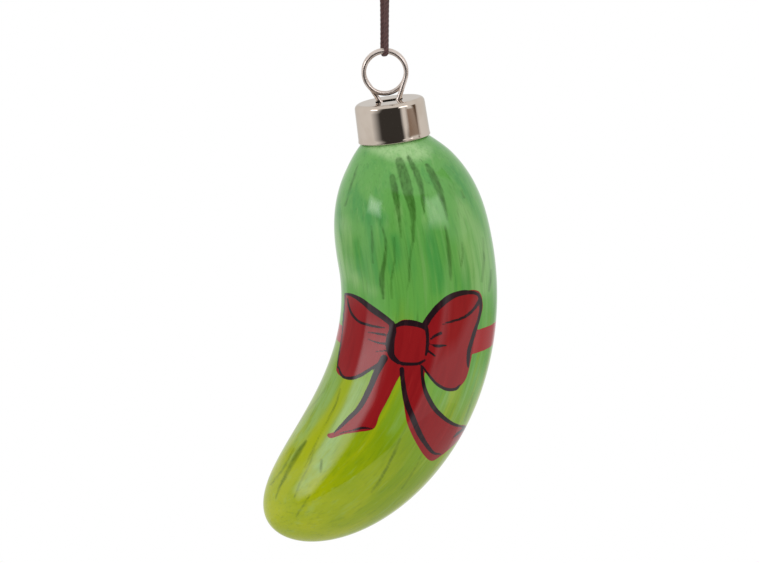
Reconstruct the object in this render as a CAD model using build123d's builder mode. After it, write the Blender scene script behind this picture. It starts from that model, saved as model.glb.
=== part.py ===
import math
import os

from build123d import *

# Glass body: a round section carried along a spine that leaves the neck straight and then bends
body_tilt = 10.2
straight_run = 27.7
bend_radius = 56.0
body_length = 104.9
belly_station = 29.0
belly_radius = 18.1
shoulder_power = 2.8
shoulder_fullness = 0.84
tip_power = 3.55
glass_wall = 1.2
tip_wall = 2.8
wall_power = 3
shoulder_sections = 7
bend_sections = 8
tip_run = 16.0
tip_sections = 6

# Neck of the glass, hidden in the cap
neck_tilt = 8.0
neck_height = 8.8
neck_radius = 7.5
bore_radius = 6.2
foot_inset = 0.22
neck_blend = 1.0
lip_round = 0.4

# Cap: a drawn metal cup, slotted for the two legs of the hanger, that sits on the lip of the neck
cap_height = 9.1
cap_radius = 8.35
cap_draft = 1.2
cap_wall = 0.45
cap_edge_round = 1.1
cap_rim_round = 0.3
cap_seat_gap = 0.1
slot_clearance = 0.25
slot_corner = 0.5

# Hanger: one length of spring wire, wound one and a half turns into an eye above two sprung legs
wire_diameter = 1.2
eye_radius = 4.9
eye_rise = 6.7
pass_spacing = 2.1
leg_spacing = 3.45
leg_bend_depth = 1.0
leg_straight = 3.6
leg_belly_depth = 9.5
leg_end_depth = 16.0
leg_end_spacing = 7.2
leg_bore_clearance = 0.2
leg_bend_radii = [4.0, 3.0, 2.0]

# Hanging cord: a doubled loop through the eye, tied in a barrel knot above the hook
cord_diameter = 1.0
cord_drop = 24.0
knot_gap = 0.15
knot_wraps = 3
knot_radius = 2.1
knot_pitch = 0.95
tail_length = 6.0
tail_splay = 14.0
tail_spacing = 1.4

# Route of the cord's middle: down the back strand, under both turns of the eye, up the front strand
cord_route = [
    (-1.1, 0.0, 0.0),
    (-0.45, 1.0, -10.0),
    (-0.35, 2.25, -20.5),
    (-0.35, 2.4, -25.35),
    (0.35, -2.4, -25.35),
    (0.35, -2.25, -20.5),
    (0.45, -1.0, -10.0),
    (1.1, 0.0, 0.0),
]
cord_eye_radius = 1.35
cord_bend_share = 0.45

# The shoulder's bulge carried on to its crown, so that at the neck's foot it lies just inside the neck
foot_share = ((neck_radius - foot_inset) / belly_radius) ** (1 / shoulder_fullness)
crown_rise = belly_station * ((1 - foot_share) ** (-1 / shoulder_power) - 1)

wire_radius = wire_diameter / 2
cord_radius = cord_diameter / 2

# Each leg leaves the eye at a tangent and runs straight through the slot to a bend below it
half_pass = pass_spacing / 2
leg_x = leg_spacing / 2
leg_reach = eye_rise + leg_bend_depth
leg_slope = math.atan2(leg_reach, leg_x) - math.acos(eye_radius / math.hypot(leg_x, leg_reach))
tangent_x = eye_radius * math.cos(leg_slope)
tangent_up = eye_rise - eye_radius * math.sin(leg_slope)
chord_x = eye_radius * math.cos(leg_slope / 2)
chord_up = eye_rise - eye_radius * math.sin(leg_slope / 2)
belly_x = math.sqrt((bore_radius - wire_radius - leg_bore_clearance) ** 2 - half_pass**2)
crossing_radius = math.hypot(eye_radius, half_pass)
slot_leg_spacing = leg_spacing + 2 * leg_bend_depth * math.tan(leg_slope)
slot_wire_length = wire_diameter / math.cos(leg_slope)

# Frame: the hook is at the origin, the eye hangs straight below it and the neck leans to the left
lean = math.radians(neck_tilt)
neck_up = Vector(-math.sin(lean), 0, math.cos(lean))
neck_right = Vector(math.cos(lean), 0, math.sin(lean))
eye_centre = Vector(0, 0, -cord_drop - eye_radius)
cap_top = Plane(eye_centre - neck_up * eye_rise, x_dir=neck_right, z_dir=neck_up)
cap_rim = cap_top.offset(-cap_height)
neck_foot = cap_top.offset(-neck_height)
lip = cap_top.offset(-cap_wall - cap_seat_gap)


# Plane across the spine, facing down it, at a distance along it from the foot of the neck
def spine_plane(station):
    start = math.radians(body_tilt)
    along = min(station, straight_run)
    heading = start - max(station - straight_run, 0) / bend_radius
    x = along * math.sin(start) + bend_radius * (math.cos(heading) - math.cos(start))
    z = along * math.cos(start) + bend_radius * (math.sin(start) - math.sin(heading))
    return Plane(
        neck_foot.origin + Vector(x, 0, -z),
        x_dir=(math.cos(heading), 0, math.sin(heading)),
        z_dir=(math.sin(heading), 0, -math.cos(heading)),
    )


# Radius of the glass: one bulge from the belly up to the shoulder and one down to the tip
def body_radius(station, inset):
    radius = belly_radius - inset
    if station < belly_station:
        rise = (belly_station - station) / (belly_station + crown_rise - inset)
        return radius * (1 - rise**shoulder_power) ** shoulder_fullness
    fall = (station - belly_station) / (body_length - inset - belly_station)
    return radius * math.sqrt(1 - fall**tip_power)


# Station where the shoulder's bulge has drawn in to the neck
def shoulder_station(radius, inset):
    drawn_in = (radius / (belly_radius - inset)) ** (1 / shoulder_fullness)
    rise = (1 - drawn_in) ** (1 / shoulder_power)
    return belly_station - rise * (belly_station + crown_rise - inset)


# Sections from below the neck to near the tip: even at first, then closer towards the tip
def section_stations(first, last):
    tip_start = last - tip_run
    shoulder_step = (belly_station - first) / shoulder_sections
    bend_step = (tip_start - belly_station) / bend_sections
    stations = [first + shoulder_step * i for i in range(1, shoulder_sections)]
    stations += [belly_station + bend_step * i for i in range(bend_sections)]
    stations += [last - tip_run * (1 - i / tip_sections) ** 2 for i in range(tip_sections)]
    return stations


# Solid form of the outside or the inside of the glass, from the lip to the tip
def glass_form(radius, end_wall, wall_at, mode):
    first = shoulder_station(radius, wall_at(0))
    last = body_length - end_wall
    root = neck_foot.offset(-first)
    with BuildSketch(root) as neck_section:
        Circle(radius)
    sections = [neck_section.sketch]
    for station in section_stations(first, last):
        with BuildSketch(spine_plane(station)) as section:
            Circle(body_radius(station, wall_at(station)))
        sections.append(section.sketch)
    loft(sections + [Vertex(spine_plane(last).origin)], mode=mode)
    extrude(neck_section.sketch, amount=(lip.origin - root.origin).length, mode=mode)


with BuildPart() as pickle_body:
    glass_form(neck_radius, 0, lambda station: 0, Mode.ADD)
    last_inside = body_length - tip_wall
    glass_form(
        bore_radius,
        tip_wall,
        lambda station: glass_wall + (tip_wall - glass_wall) * (station / last_inside) ** wall_power,
        Mode.SUBTRACT,
    )
    neck_wall = pickle_body.faces().filter_by(GeomType.CYLINDER).sort_by(SortBy.AREA)[-1]
    fillet(neck_wall.edges().sort_by(Axis(lip.origin, lip.z_dir))[0], neck_blend)
    lip_face = pickle_body.faces().sort_by(Axis(lip.origin, lip.z_dir))[-1]
    fillet(lip_face.edges(), lip_round)
pickle_body.part.label = "pickle_body"

with BuildPart() as cap:
    with BuildSketch(cap_rim):
        Circle(cap_radius)
    extrude(amount=cap_height, taper=cap_draft)
    along_neck = Axis(cap_rim.origin, cap_rim.z_dir)
    fillet(cap.faces().sort_by(along_neck)[-1].edges(), cap_edge_round)
    offset(amount=-cap_wall, openings=cap.faces().sort_by(along_neck)[0])
    with BuildSketch(cap_top):
        RectangleRounded(
            slot_leg_spacing + slot_wire_length + 2 * slot_clearance,
            pass_spacing + wire_diameter + 2 * slot_clearance,
            slot_corner,
        )
    extrude(amount=-2 * cap_wall, mode=Mode.SUBTRACT)
    rim_edges = cap.faces().sort_by(along_neck)[0].edges()
    fillet(rim_edges.sort_by(SortBy.LENGTH)[-1], cap_rim_round)
cap.part.label = "cap"


# Point in the hanger's own frame: across the neck, towards the back, up from the cap's top
def hanger_point(across, back, up):
    return cap_top.from_local_coords(Vector(across, back, up))


# One leg, from its end up to where it meets the eye: side is -1 on the left and 1 on the right
def leg_points(side, back):
    return [
        hanger_point(side * leg_end_spacing / 2, back, -leg_end_depth),
        hanger_point(side * belly_x, back, -leg_belly_depth),
        hanger_point(side * leg_x, back, -leg_straight),
        hanger_point(side * leg_x, back, -leg_bend_depth),
        hanger_point(side * tangent_x, back, tangent_up),
    ]


# The half turn over the top of the eye, and the short arc that carries on down to a leg
def eye_pass(back):
    left = hanger_point(-eye_radius, back, eye_rise)
    top = hanger_point(0, back, eye_rise + eye_radius)
    right = hanger_point(eye_radius, back, eye_rise)
    ThreePointArc(left, top, right)


def eye_run_out(side, back):
    side_point = hanger_point(side * eye_radius, back, eye_rise)
    middle = hanger_point(side * chord_x, back, chord_up)
    leg_top = hanger_point(side * tangent_x, back, tangent_up)
    ThreePointArc(leg_top, middle, side_point)


with BuildPart() as hanger:
    with BuildLine() as hanger_path:
        FilletPolyline(*leg_points(-1, half_pass), radius=leg_bend_radii)
        eye_run_out(-1, half_pass)
        eye_pass(half_pass)
        ThreePointArc(
            hanger_point(eye_radius, half_pass, eye_rise),
            hanger_point(0, 0, eye_rise - crossing_radius),
            hanger_point(-eye_radius, -half_pass, eye_rise),
        )
        eye_pass(-half_pass)
        eye_run_out(1, -half_pass)
        FilletPolyline(*leg_points(1, -half_pass), radius=leg_bend_radii)
    hanger_wire = hanger_path.wires()[0]
    with BuildSketch(Plane(hanger_wire @ 0, z_dir=hanger_wire % 0)):
        Circle(wire_radius)
    sweep(path=hanger_wire)
hanger.part.label = "hanger"


# Radius of the cord's bend at each inner point of its route, tight only under the eye
def cord_radii():
    points = [Vector(*point) for point in cord_route]
    eye_corners = (len(points) // 2 - 1, len(points) // 2)
    radii = []
    for i in range(1, len(points) - 1):
        arriving = points[i] - points[i - 1]
        leaving = points[i + 1] - points[i]
        half_turn = math.radians(arriving.get_angle(leaving)) / 2
        widest = cord_bend_share * min(arriving.length, leaving.length) / math.tan(half_turn)
        radii.append(cord_eye_radius if i in eye_corners else widest)
    return radii


with BuildPart() as hanging_cord:
    with BuildLine() as cord_path:
        FilletPolyline(*cord_route, radius=cord_radii())
    cord_wire = cord_path.wires()[0]
    with BuildSketch(Plane(cord_wire @ 0, z_dir=cord_wire % 0)):
        Circle(cord_radius)
    sweep(path=cord_wire)
    with Locations(Vector(*cord_route[0]), Vector(*cord_route[-1])):
        Sphere(cord_radius)
hanging_cord.part.label = "hanging_cord"

knot_foot = cord_radius + knot_gap
wrap_radius = knot_radius - cord_radius
knot_height = cord_diameter + knot_pitch * (knot_wraps - 1)
with BuildPart() as cord_knot:
    with BuildSketch(Plane.XZ) as knot_profile:
        with Locations((0, knot_foot)):
            Rectangle(wrap_radius, knot_height, align=(Align.MIN, Align.MIN))
        for wrap in range(knot_wraps):
            with Locations((wrap_radius, knot_foot + cord_radius + wrap * knot_pitch)):
                Circle(cord_radius)
    revolve(axis=Axis.Z)
    for side in (-1, 1):
        root = Vector(side * tail_spacing / 2, 0, knot_foot + knot_height - cord_radius)
        with BuildSketch(Plane(root, z_dir=Vector(0, 0, 1).rotate(Axis.Y, side * tail_splay))):
            Circle(cord_radius)
        extrude(amount=tail_length)
cord_knot.part.label = "cord_knot"


# Least gap between the turns of the hanger, and the cord's volume against its section and length
def hanger_gap():
    count = 400
    points = [hanger_wire @ (i / count) for i in range(count + 1)]
    apart = int(count * 4 * wire_diameter / hanger_wire.length)
    pairs = ((i, j) for i in range(count + 1) for j in range(i + apart, count + 1))
    return min((points[i] - points[j]).length for i, j in pairs) - wire_diameter


print("cord radii", [round(radius, 1) for radius in cord_radii()])
print("cord length", round(cord_wire.length, 1))
cord_ends = math.pi * cord_diameter**3 / 6
cord_tube = math.pi * cord_radius**2 * cord_wire.length + cord_ends
print("cord volume over section times length", round(hanging_cord.part.volume / cord_tube, 4))
print("least gap in the hanger", round(hanger_gap(), 2))

os.makedirs("parts", exist_ok=True)
for piece in (pickle_body, cap, hanger, hanging_cord, cord_knot):
    export_step(piece.part, f"parts/{piece.part.label}.step")
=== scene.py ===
import math

import bmesh
import bpy
import numpy as np
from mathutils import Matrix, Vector


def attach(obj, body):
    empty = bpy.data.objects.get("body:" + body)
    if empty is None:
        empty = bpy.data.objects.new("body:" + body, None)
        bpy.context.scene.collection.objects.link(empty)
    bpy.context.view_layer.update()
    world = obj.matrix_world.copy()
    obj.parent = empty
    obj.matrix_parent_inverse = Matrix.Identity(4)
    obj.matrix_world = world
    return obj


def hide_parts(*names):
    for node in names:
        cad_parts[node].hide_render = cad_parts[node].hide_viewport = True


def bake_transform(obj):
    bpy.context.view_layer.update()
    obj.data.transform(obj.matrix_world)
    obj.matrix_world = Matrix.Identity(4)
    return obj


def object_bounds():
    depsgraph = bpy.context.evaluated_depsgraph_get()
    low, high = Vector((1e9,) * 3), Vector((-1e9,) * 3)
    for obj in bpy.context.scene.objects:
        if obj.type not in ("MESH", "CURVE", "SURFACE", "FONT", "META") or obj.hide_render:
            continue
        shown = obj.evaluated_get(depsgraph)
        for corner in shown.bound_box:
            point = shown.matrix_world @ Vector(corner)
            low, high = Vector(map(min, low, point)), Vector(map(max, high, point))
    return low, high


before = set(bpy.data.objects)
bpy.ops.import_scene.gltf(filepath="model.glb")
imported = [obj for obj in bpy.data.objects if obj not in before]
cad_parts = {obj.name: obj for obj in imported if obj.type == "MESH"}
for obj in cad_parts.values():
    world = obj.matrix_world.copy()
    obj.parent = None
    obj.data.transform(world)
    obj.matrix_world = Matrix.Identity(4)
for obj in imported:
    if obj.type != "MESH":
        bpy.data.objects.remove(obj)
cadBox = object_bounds()
scene = bpy.context.scene
scene.view_settings.view_transform = "Standard"
print("frame loaded:", ", ".join(sorted(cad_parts)))

mm = 0.001


# Small helpers for node trees and meshes

def srgb(red, green, blue):  # a screen colour as the linear one that shaders take
    shares = [value / 255 for value in (red, green, blue)]
    return (*[s / 12.92 if s <= 0.04045 else ((s + 0.055) / 1.055) ** 2.4 for s in shares], 1.0)


def signFor(operation, swapped=False):
    def sign(self, other):
        return maths(self.tree, operation, *((other, self) if swapped else (self, other)))
    return sign


class Term:  # a value in a node tree, which takes the usual signs
    def __init__(self, tree, socket):
        self.tree, self.socket = tree, socket

    def to(self, operation, *others, clamp=False):
        return maths(self.tree, operation, self, *others, clamp=clamp)

    def step(self, low, high):  # smoothly from 0 below low to 1 above high
        return term(self.tree, "ShaderNodeMapRange", "Result", {"Value": self, "From Min": low, "From Max": high},
                    interpolation_type="SMOOTHSTEP")

    def mix(self, below, above):  # from one colour at 0 to another at 1
        return term(self.tree, "ShaderNodeMix", 2, {0: self, 6: below, 7: above}, data_type="RGBA")

    __add__, __mul__, __truediv__, __pow__ = [signFor(name) for name in ("ADD", "MULTIPLY", "DIVIDE", "POWER")]
    __sub__, __rsub__ = signFor("SUBTRACT"), signFor("SUBTRACT", swapped=True)


def feed(tree, node, inputs):  # links or plain values into a node's sockets
    for name, value in inputs.items():
        value = getattr(value, "socket", value)
        if isinstance(value, bpy.types.NodeSocket):
            tree.links.new(value, node.inputs[name])
        else:
            node.inputs[name].default_value = value


def addNode(tree, kind, inputs=None, **settings):
    node = tree.nodes.new(kind)
    for name, value in settings.items():
        setattr(node, name, value)
    feed(tree, node, inputs or {})
    return node


def term(tree, kind, output, inputs=None, **settings):  # a new node's output
    return Term(tree, addNode(tree, kind, inputs, **settings).outputs[output])


def maths(tree, operation, *values, clamp=False):
    return term(tree, "ShaderNodeMath", 0, dict(enumerate(values)), operation=operation, use_clamp=clamp)


def noise(tree, place, scale, detail, roughness=0.5):
    return term(tree, "ShaderNodeTexNoise", "Fac", {
        "Vector": place, "Scale": scale, "Detail": detail, "Roughness": roughness})


def attribute(tree, name, output="Fac"):
    return term(tree, "ShaderNodeAttribute", output, attribute_name=name)


def clearTree(owner):
    owner.use_nodes = True
    owner.node_tree.nodes.clear()
    return owner.node_tree


def newMaterial(name, **constants):  # constants go straight onto the Principled shader's sockets
    material = bpy.data.materials.new(name)
    tree = clearTree(material)
    shader = addNode(tree, "ShaderNodeBsdfPrincipled", {key.replace("_", " "): constants[key] for key in constants})
    addNode(tree, "ShaderNodeOutputMaterial", {"Surface": shader.outputs["BSDF"]})
    return material, tree, shader


def newTree(name, family, inputs, outputs):  # a node group with named sockets, and what its inputs give
    tree = bpy.data.node_groups.new(name, family + "NodeTree")
    for way, sockets in (("INPUT", inputs), ("OUTPUT", outputs)):
        for key, kind in sockets.items():
            tree.interface.new_socket(key, in_out=way, socket_type="NodeSocket" + kind)
    given = addNode(tree, "NodeGroupInput").outputs
    return tree, {socket.name: Term(tree, socket) for socket in given if socket.name}


def sizedTree(name, sizes):  # a geometry tree with one named input for each size
    kinds = {int: "Int", float: "Float", bpy.types.Material: "Material"}
    inputs = {key: kinds[type(value)] for key, value in sizes.items()}
    return newTree(name, "Geometry", {"Geometry": "Geometry", **inputs}, {"Geometry": "Geometry"})


def endTree(tree, geometry, material):
    smooth = addNode(tree, "GeometryNodeSetShadeSmooth", {"Geometry": geometry})
    painted = addNode(tree, "GeometryNodeSetMaterial", {"Geometry": smooth.outputs[0], "Material": material})
    addNode(tree, "NodeGroupOutput", {0: painted.outputs[0]})
    return tree


def runTree(obj, tree, sizes):
    modifier = obj.modifiers.new(tree.name, "NODES")
    modifier.node_group = tree
    for item in tree.interface.items_tree:
        if item.name in sizes:
            modifier[item.identifier] = sizes[item.name]
    return obj


def newObject(name, data, material=None):
    obj = bpy.data.objects.new(name, data)
    scene.collection.objects.link(obj)
    if material is not None:
        data.materials.append(material)
    return obj


def newCurve(name, kind, path):
    curve = bpy.data.curves.new(name, "CURVE")
    curve.dimensions = "3D"
    spline = curve.splines.new(kind)
    spline.points.add(len(path) - 1)
    for point, place in zip(spline.points, path):
        point.co = (*place, 1.0)
    return curve, spline


def newMesh(name, vertices, faces):
    mesh = bpy.data.meshes.new(name)
    mesh.from_pydata(vertices, [], faces)
    mesh.shade_smooth()
    return mesh


def quadFaces(rows, columns, rowLoop=False, columnLoop=True):  # quads between rows of points
    faces = []
    for i in range(rows if rowLoop else rows - 1):
        here, below = i * columns, (i + 1) % rows * columns
        for k in range(columns if columnLoop else columns - 1):
            nextK = (k + 1) % columns
            faces.append((here + k, here + nextK, below + nextK, below + k))
    return faces


def plainMesh(obj, name):  # the evaluated object as a plain mesh, and the source removed
    evaluated = obj.evaluated_get(bpy.context.evaluated_depsgraph_get())
    mesh = bpy.data.meshes.new_from_object(evaluated)
    bpy.data.objects.remove(obj)
    mesh.name = name
    return mesh


def outward(mesh):
    work = bmesh.new()
    work.from_mesh(mesh)
    bmesh.ops.recalc_face_normals(work, faces=work.faces)
    openEdges = sum(not edge.is_manifold for edge in work.edges)
    work.to_mesh(mesh)
    work.free()
    print(f"  {mesh.name}: {len(mesh.polygons)} faces, {openEdges} open edges")
    return mesh


def readRows(data, key, width):  # a row of numbers for each item
    values = np.zeros(len(data) * width, np.float32)
    data.foreach_get(key, values)
    return values.reshape(-1, width).astype(float)


def setValues(mesh, name, values):
    mesh.attributes.new(name, "FLOAT", "POINT").data.foreach_set("value", np.array(values, np.float32))


# Camera: the photograph's angle on the ornament, through a long lens

view = {
    "elevation": 9.5,
    "distance": 2.5,
    "frameWidth": 0.1761,  # what the frame spans at the target
    "target": (-0.00127, 0.00113, -0.07823),
    "sensor": 36.0,
    "clip": (0.01, 50),
}


def viewAxes():  # right, up and forward of a level look from the front
    tilt = math.radians(view["elevation"])
    forward = Vector((0, math.cos(tilt), -math.sin(tilt)))
    return Vector((1, 0, 0)), Vector((0, math.sin(tilt), math.cos(tilt))), forward


def makeCamera():
    forward = viewAxes()[2]
    data = bpy.data.cameras.new("photoCamera")
    data.sensor_width = view["sensor"]
    data.lens = view["sensor"] * view["distance"] / view["frameWidth"]
    data.clip_start, data.clip_end = view["clip"]
    camera = newObject("photoCamera", data)
    camera.location = Vector(view["target"]) - forward * view["distance"]
    camera.rotation_euler = forward.to_track_quat("-Z", "Y").to_euler()
    scene.camera = camera


makeCamera()
print("camera set")


# The neck leans to the left under the eye, and the cap, hanger and glass are built on its axis

neck = {
    "tilt": 8.0,
    "eyeDepth": 28.9 * mm,  # from the hook down to the middle of the eye
    "eyeRise": 6.7 * mm,  # from the cap's top up to the middle of the eye
    "footDepth": 8.8 * mm,  # from the cap's top down to the foot of the neck
}
neckLean = math.radians(neck["tilt"])
neckUp = Vector((-math.sin(neckLean), 0, math.cos(neckLean)))
neckRight = Vector((math.cos(neckLean), 0, math.sin(neckLean)))
capTop = Vector((0, 0, -neck["eyeDepth"])) - neckUp * neck["eyeRise"]
neckFoot = capTop - neckUp * neck["footDepth"]


def neckPoint(across, back, up):
    return capTop + neckRight * across + Vector((0, back, 0)) + neckUp * up


# Cord: one limp brown cord doubled through the eye, from the knot and back to it

cordLook = {
    "diameter": 1 * mm,
    "length": 54.6 * mm,
    "sides": 24,
    "routeSteps": 24,
    "step": 0.36,  # between rings, as a share of the radius
    "plies": 3,
    "lay": 3.4 * mm,  # length of one turn of the plies
    "relief": 0.045,
    "wide": 1.2,  # the limp cord lies flatter than it is wide
    "thick": 0.5,
    "cutRound": 0.6,  # radii over which a cut end pulls in
    "route": [  # millimetres; both ends run up into the knot, and the corners stand wide of the eye's wire
        (-0.75, 0, 1.6), (-1.1, 0, 0), (-0.6, 1, -10), (-0.48, 2.25, -20.5), (-0.56, 2.6, -25.2),
        (0.32, -2.75, -24.9), (0.32, -2.25, -20.5), (0.42, -1, -10), (1.1, 0, 0), (0.75, 0, 1.6),
    ],
}


def readRoute():
    route = [[value * mm for value in place] for place in cordLook["route"]]
    curve, spline = newCurve("cordRoute", "NURBS", route)
    spline.order_u = 3
    spline.use_endpoint_u = True
    spline.resolution_u = cordLook["routeSteps"]
    mesh = plainMesh(newObject("cordRoute", curve), "cordRoute")
    return [vertex.co.copy() for vertex in mesh.vertices]


def tubeMesh(name, path, radius, wide=1.0, thick=1.0, cutEnd=False):  # a laid cord, with its plies in relief
    points = np.array(path)
    run = np.concatenate([[0], np.cumsum(np.linalg.norm(np.diff(points, axis=0), axis=1))])
    count = int(run[-1] / (radius * cordLook["step"]))
    places = np.linspace(0, run[-1], count + 1)
    centres = np.stack([np.interp(places, run, points[:, k]) for k in range(3)], axis=1)
    tangents = np.gradient(centres, axis=0)
    tangents /= np.linalg.norm(tangents, axis=1)[:, None]
    side = np.array((1.0, 0.0, 0.0))
    sides, relief = cordLook["sides"], cordLook["relief"]
    angles = np.arange(sides) * 2 * math.pi / sides
    across, through = wide * np.cos(angles)[:, None], thick * np.sin(angles)[:, None]
    rings, crests = [], []
    for centre, tangent, place in zip(centres, tangents, places):
        side = side - tangent * (side @ tangent)
        side /= np.linalg.norm(side)
        crest = np.cos(cordLook["plies"] * (angles - 2 * math.pi * place / cordLook["lay"]))
        reach = radius * (1 - relief + relief * crest)
        if cutEnd:
            reach = reach * math.sqrt(1 - max(0, (place - run[-1]) / radius + cordLook["cutRound"]) ** 2)
        rings.append(centre + reach[:, None] * (across * side + through * np.cross(tangent, side)))
        crests.append(crest)
    first, last = (count + 1) * sides, (count + 1) * sides + 1
    faces = quadFaces(count + 1, sides)
    faces += [(first, (k + 1) % sides, k) for k in range(sides)]
    faces += [(last, count * sides + k, count * sides + (k + 1) % sides) for k in range(sides)]
    mesh = newMesh(name, np.concatenate(rings + [centres[:1], centres[-1:]]), faces)
    setValues(mesh, "ply", np.concatenate(crests + [crests[0][:1], crests[-1][:1]]))
    return outward(mesh)


def cordMaterial():
    material, tree, shader = newMaterial("waxedCord", Roughness=0.62, Specular_IOR_Level=0.35)
    place = addNode(tree, "ShaderNodeTexCoord").outputs["Object"]
    fibres = noise(tree, place, 2600, 3, 0.6)
    crest = attribute(tree, "ply").step(-1.0, 0.6)
    # lighter in patches on the crests of the plies and darker in the grooves between them
    worn = (crest * noise(tree, place, 260, 2)).mix(srgb(62, 42, 42), srgb(112, 80, 78))
    base = fibres.step(0.35, 0.75).mix(worn, srgb(90, 60, 58))
    bump = addNode(tree, "ShaderNodeBump", {"Height": fibres, "Strength": 0.25, "Distance": 0.00008})
    feed(tree, shader, {"Base Color": base, "Normal": bump.outputs["Normal"]})
    return material


cordFinish = cordMaterial()
cordPath = readRoute()
cordMesh = tubeMesh("brownCord", cordPath, cordLook["diameter"] / 2, cordLook["wide"], cordLook["thick"])
cord = newObject("brownCord", cordMesh, cordFinish)
print("cord laid")


# Knot above the hook: three wraps round both strands, and the two cut tails

knotLook = {
    "foot": 1.15 * mm,  # middle of the lowest wrap
    "wraps": 3,
    "pitch": 0.95 * mm,
    "wrapRadius": 1.58 * mm,
    "strandSpacing": 1.4 * mm,
    "tailLength": 5.7 * mm,
    "tailSplay": 14.0,
    "tailWave": (0.12 * mm, 0.7),  # reach, and radians to a step
    "tailSteps": 8,
    "tailGirth": 0.97,
    "footSpread": 1.1,
    "lap": (0.3 * mm, 0.4 * mm),  # the strands below and above the wraps
    "wrapSteps": 28,
    "tuck": 0.5 * mm,  # how far the ends of the wraps tuck in, over a share of their run
    "tuckShare": 0.07,
}


def joinMeshes(name, meshes):
    work = bmesh.new()
    for mesh in meshes:
        work.from_mesh(mesh)
    joined = bpy.data.meshes.new(name)
    work.to_mesh(joined)
    work.free()
    joined.shade_smooth()
    return joined


def knotMesh():
    radius, foot, wraps = cordLook["diameter"] / 2, knotLook["foot"], knotLook["wraps"]
    rise, tuckShare = knotLook["pitch"] * (wraps - 1), knotLook["tuckShare"]
    wrap = []
    for share in np.linspace(0, 1, knotLook["wrapSteps"] * wraps + 1):
        angle = 2 * math.pi * wraps * share
        tucked = max(0, abs(share - 0.5) - 0.5 + tuckShare) / tuckShare
        reach = knotLook["wrapRadius"] - knotLook["tuck"] * tucked
        wrap.append((reach * math.cos(angle), reach * math.sin(angle), foot + rise * share))
    pieces = [tubeMesh("wraps", wrap, radius)]
    lean, steps = math.radians(knotLook["tailSplay"]), knotLook["tailSteps"]
    (below, above), (wave, turn) = knotLook["lap"], knotLook["tailWave"]
    top = foot + rise + above
    for side in (-1, 1):
        across = side * knotLook["strandSpacing"] / 2
        strand = [(across * knotLook["footSpread"], 0, foot - below), (across, 0, top)]
        for k in range(1, steps + 1):
            away = knotLook["tailLength"] * k / steps
            back = wave * side * math.sin(k * turn)
            strand.append((across + side * away * math.sin(lean), back, top + away * math.cos(lean)))
        pieces.append(tubeMesh("tail", strand, radius * knotLook["tailGirth"], cutEnd=True))
    return joinMeshes("cordKnot", pieces)


knot = newObject("cordKnot", knotMesh(), cordFinish)
print("knot tied")


# Polished metal: a shared look of faint rubbing marks and dulled patches for the cap and the hanger

def polishGroup():
    tree, given = newTree("rubbedPolish", "Shader", {
        "Place": "Vector", "Mark Scale": "Float", "Bright": "Color", "Dull": "Color", "Sheen": "Float",
    }, {"Colour": "Color", "Roughness": "Float"})
    dulled = noise(tree, given["Place"], given["Mark Scale"], 4).step(0.45, 0.72)
    grain = noise(tree, given["Place"], given["Mark Scale"] * 7.0, 2)
    addNode(tree, "NodeGroupOutput", {
        "Colour": dulled.mix(given["Bright"], given["Dull"]),
        "Roughness": grain * 0.03 + (dulled * 0.05 + given["Sheen"])})
    return tree


rubbedPolish = polishGroup()


def polishedMetal(name, bright, dull, sheen, markScale):
    material, tree, shader = newMaterial(name, Metallic=1.0, Specular_Tint=(0.78, 0.77, 0.75, 1))
    place = addNode(tree, "ShaderNodeTexCoord").outputs["Object"]
    polish = addNode(tree, "ShaderNodeGroup", {
        "Place": place, "Mark Scale": markScale, "Bright": bright, "Dull": dull, "Sheen": sheen,
    }, node_tree=rubbedPolish)
    feed(tree, shader, {"Base Color": polish.outputs["Colour"], "Roughness": polish.outputs["Roughness"]})
    return material


capFinish = polishedMetal("capSilver", srgb(198, 186, 174), srgb(190, 177, 164), 0.05, 190.0)
wireFinish = polishedMetal("wireNickel", srgb(212, 200, 192), srgb(194, 180, 171), 0.27, 240.0)


# Hanger: spring wire wound one and a half turns into the eye, with two bowed legs down the neck

wire = {
    "diameter": 1.1 * mm,
    "sides": 28,
    "eyeRadius": 4.9 * mm,
    "passSpacing": 2.1 * mm,
    "legSpacing": 3.45 * mm,
    "legBendDepth": 1 * mm,  # the legs run straight through the slot to a bend below it
    "legStraight": 3.6 * mm,
    "legBellyDepth": 9.5 * mm,
    "legBellyX": 5.297 * mm,
    "legEndDepth": 16 * mm,
    "legEndSpacing": 7.2 * mm,
    "bends": (4 * mm, 3 * mm, 2 * mm),
    "steps": (5, 44, 40),  # in a short arc, a half turn and the turn below
}


def roundedRun(points, radii, steps=8):  # a bent wire: straight runs joined by arcs
    run = [points[0]]
    for before, corner, after, radius in zip(points, points[1:], points[2:], radii):
        arriving, leaving = (corner - before).normalized(), (after - corner).normalized()
        turn = arriving.angle(leaving)
        start = corner - arriving * radius * math.tan(turn / 2)
        inward = (leaving - arriving * arriving.dot(leaving)).normalized()
        centre = start + inward * radius
        for k in range(steps + 1):
            angle = turn * k / steps
            run.append(centre - inward * radius * math.cos(angle) + arriving * radius * math.sin(angle))
    return run + [points[-1]]


def eyeArc(back, fromAngle, toAngle, steps):
    arc = []
    for k in range(steps + 1):
        angle = math.radians(fromAngle + (toAngle - fromAngle) * k / steps)
        up = neck["eyeRise"] + wire["eyeRadius"] * math.sin(angle)
        arc.append(Vector((wire["eyeRadius"] * math.cos(angle), back, up)))
    return arc


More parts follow.
